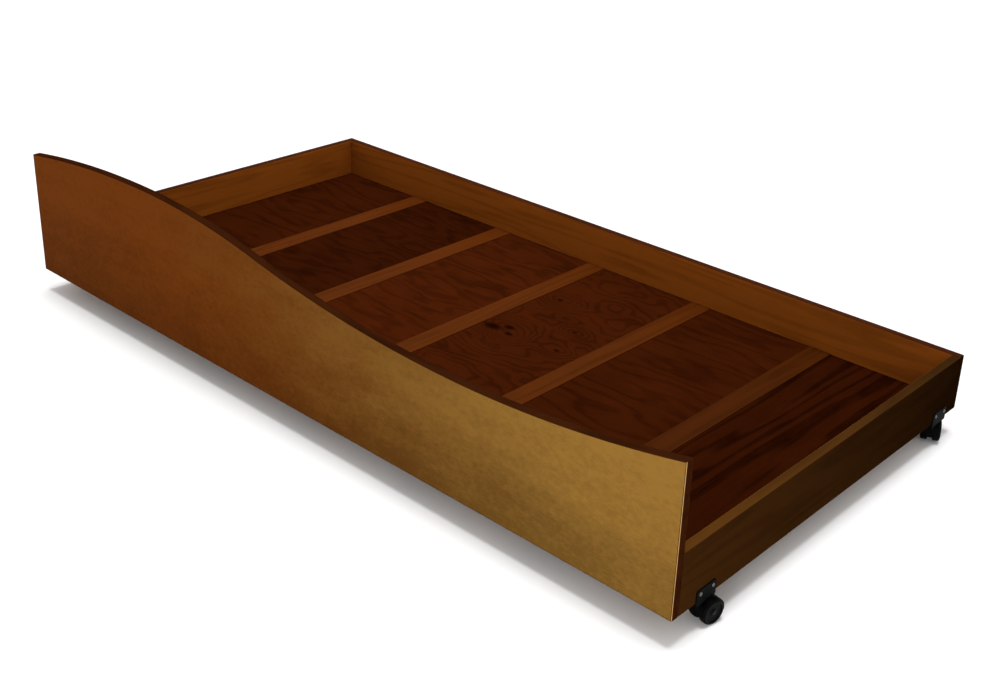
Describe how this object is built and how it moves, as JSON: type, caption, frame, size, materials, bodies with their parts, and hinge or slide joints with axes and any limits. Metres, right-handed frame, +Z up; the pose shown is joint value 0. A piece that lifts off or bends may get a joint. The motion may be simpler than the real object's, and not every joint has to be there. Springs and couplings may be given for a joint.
{
  "type": "trundle bed",
  "caption": "Low rolling bed frame with a wave-topped front panel, slatted plywood deck and twin-wheel swivel casters.",
  "frame": {"origin": "on the floor, below the middle of the bed", "axes": "+X along the length to the right end as seen from the front, -Y out of the tall front panel, +Z up"},
  "size_m": [1.9847, 1.018, 0.399],
  "materials": {
    "front_panel_wood": "satin lacquered maple veneer, golden brown stain",
    "board_wood": "satin lacquered solid wood, reddish brown stain",
    "deck_plywood": "satin stained rotary-cut plywood",
    "slat_wood": "satin stained solid wood",
    "cleat_wood": "bare planed softwood",
    "dowel_wood": "bare beech",
    "screw_steel": "bright zinc plated",
    "pin_steel": "turned steel",
    "bush_nylon": "moulded natural nylon",
    "caster_bracket": "black powder coat",
    "caster_hood": "moulded black nylon",
    "caster_wheel": "moulded black nylon, satin"
  },
  "bodies": {
    "frame": {"front_panel": "front_panel_wood", "back_rail": "board_wood", "left_end": "board_wood", "right_end": "board_wood", "deck_panel_1": "deck_plywood", "deck_panel_2": "deck_plywood", "deck_panel_3": "deck_plywood", "deck_panel_4": "deck_plywood", "deck_panel_5": "deck_plywood", "deck_panel_6": "deck_plywood", "slat_1": "slat_wood", "slat_2": "slat_wood", "slat_3": "slat_wood", "slat_4": "slat_wood", "slat_5": "slat_wood", "front_cleats": "cleat_wood", "back_cleats": "cleat_wood", "left_cleat": "cleat_wood", "right_cleat": "cleat_wood", "front_dowels": "dowel_wood", "rail_screws": "screw_steel", "cleat_screws": "screw_steel", "front_right_bracket": "caster_bracket", "front_right_bush": "bush_nylon", "front_right_bracket_screws": "screw_steel", "back_right_bracket": "caster_bracket", "back_right_bush": "bush_nylon", "back_right_bracket_screws": "screw_steel", "front_left_bracket": "caster_bracket", "front_left_bush": "bush_nylon", "front_left_bracket_screws": "screw_steel", "back_left_bracket": "caster_bracket", "back_left_bush": "bush_nylon", "back_left_bracket_screws": "screw_steel"},
    "front_right_swivel": {"front_right_stem": "pin_steel", "front_right_hood": "caster_hood", "front_right_axle": "pin_steel"},
    "front_right_inner_wheel": {"front_right_inner_wheel": "caster_wheel"},
    "front_right_outer_wheel": {"front_right_outer_wheel": "caster_wheel"},
    "back_right_swivel": {"back_right_stem": "pin_steel", "back_right_hood": "caster_hood", "back_right_axle": "pin_steel"},
    "back_right_inner_wheel": {"back_right_inner_wheel": "caster_wheel"},
    "back_right_outer_wheel": {"back_right_outer_wheel": "caster_wheel"},
    "front_left_swivel": {"front_left_stem": "pin_steel", "front_left_hood": "caster_hood", "front_left_axle": "pin_steel"},
    "front_left_inner_wheel": {"front_left_inner_wheel": "caster_wheel"},
    "front_left_outer_wheel": {"front_left_outer_wheel": "caster_wheel"},
    "back_left_swivel": {"back_left_stem": "pin_steel", "back_left_hood": "caster_hood", "back_left_axle": "pin_steel"},
    "back_left_inner_wheel": {"back_left_inner_wheel": "caster_wheel"},
    "back_left_outer_wheel": {"back_left_outer_wheel": "caster_wheel"}
  },
  "joints": [
    {"name": "front_right_swivel_turn", "type": "hinge", "parent": "frame", "child": "front_right_swivel", "pos_m": [0.967, -0.415, 0.052], "axis": [0, 0, 1], "continuous": true},
    {"name": "front_right_inner_roll", "type": "hinge", "parent": "front_right_swivel", "child": "front_right_inner_wheel", "pos_m": [0.95757, -0.39506, 0.024], "axis": [0.9848, -0.1736, 0], "continuous": true},
    {"name": "front_right_outer_roll", "type": "hinge", "parent": "front_right_swivel", "child": "front_right_outer_wheel", "pos_m": [0.98268, -0.39949, 0.024], "axis": [0.9848, -0.1736, 0], "continuous": true},
    {"name": "back_right_swivel_turn", "type": "hinge", "parent": "frame", "child": "back_right_swivel", "pos_m": [0.967, 0.429, 0.052], "axis": [0, 0, 1], "continuous": true},
    {"name": "back_right_inner_roll", "type": "hinge", "parent": "back_right_swivel", "child": "back_right_inner_wheel", "pos_m": [0.94747, 0.43925, 0.024], "axis": [0.891, 0.454, 0], "continuous": true},
    {"name": "back_right_outer_roll", "type": "hinge", "parent": "back_right_swivel", "child": "back_right_outer_wheel", "pos_m": [0.97019, 0.45083, 0.024], "axis": [0.891, 0.454, 0], "continuous": true},
    {"name": "front_left_swivel_turn", "type": "hinge", "parent": "frame", "child": "front_left_swivel", "pos_m": [-0.967, -0.415, 0.052], "axis": [0, 0, 1], "continuous": true},
    {"name": "front_left_inner_roll", "type": "hinge", "parent": "front_left_swivel", "child": "front_left_inner_wheel", "pos_m": [-0.9562, -0.39577, 0.024], "axis": [0.9945, 0.1045, 0], "continuous": true},
    {"name": "front_left_outer_roll", "type": "hinge", "parent": "front_left_swivel", "child": "front_left_outer_wheel", "pos_m": [-0.98156, -0.39843, 0.024], "axis": [0.9945, 0.1045, 0], "continuous": true},
    {"name": "back_left_swivel_turn", "type": "hinge", "parent": "frame", "child": "back_left_swivel", "pos_m": [-0.967, 0.429, 0.052], "axis": [0, 0, 1], "continuous": true},
    {"name": "back_left_inner_roll", "type": "hinge", "parent": "back_left_swivel", "child": "back_left_inner_wheel", "pos_m": [-0.95027, 0.44338, 0.024], "axis": [0.9703, -0.2419, 0], "continuous": true},
    {"name": "back_left_outer_roll", "type": "hinge", "parent": "back_left_swivel", "child": "back_left_outer_wheel", "pos_m": [-0.97502, 0.44955, 0.024], "axis": [0.9703, -0.2419, 0], "continuous": true}
  ]
}
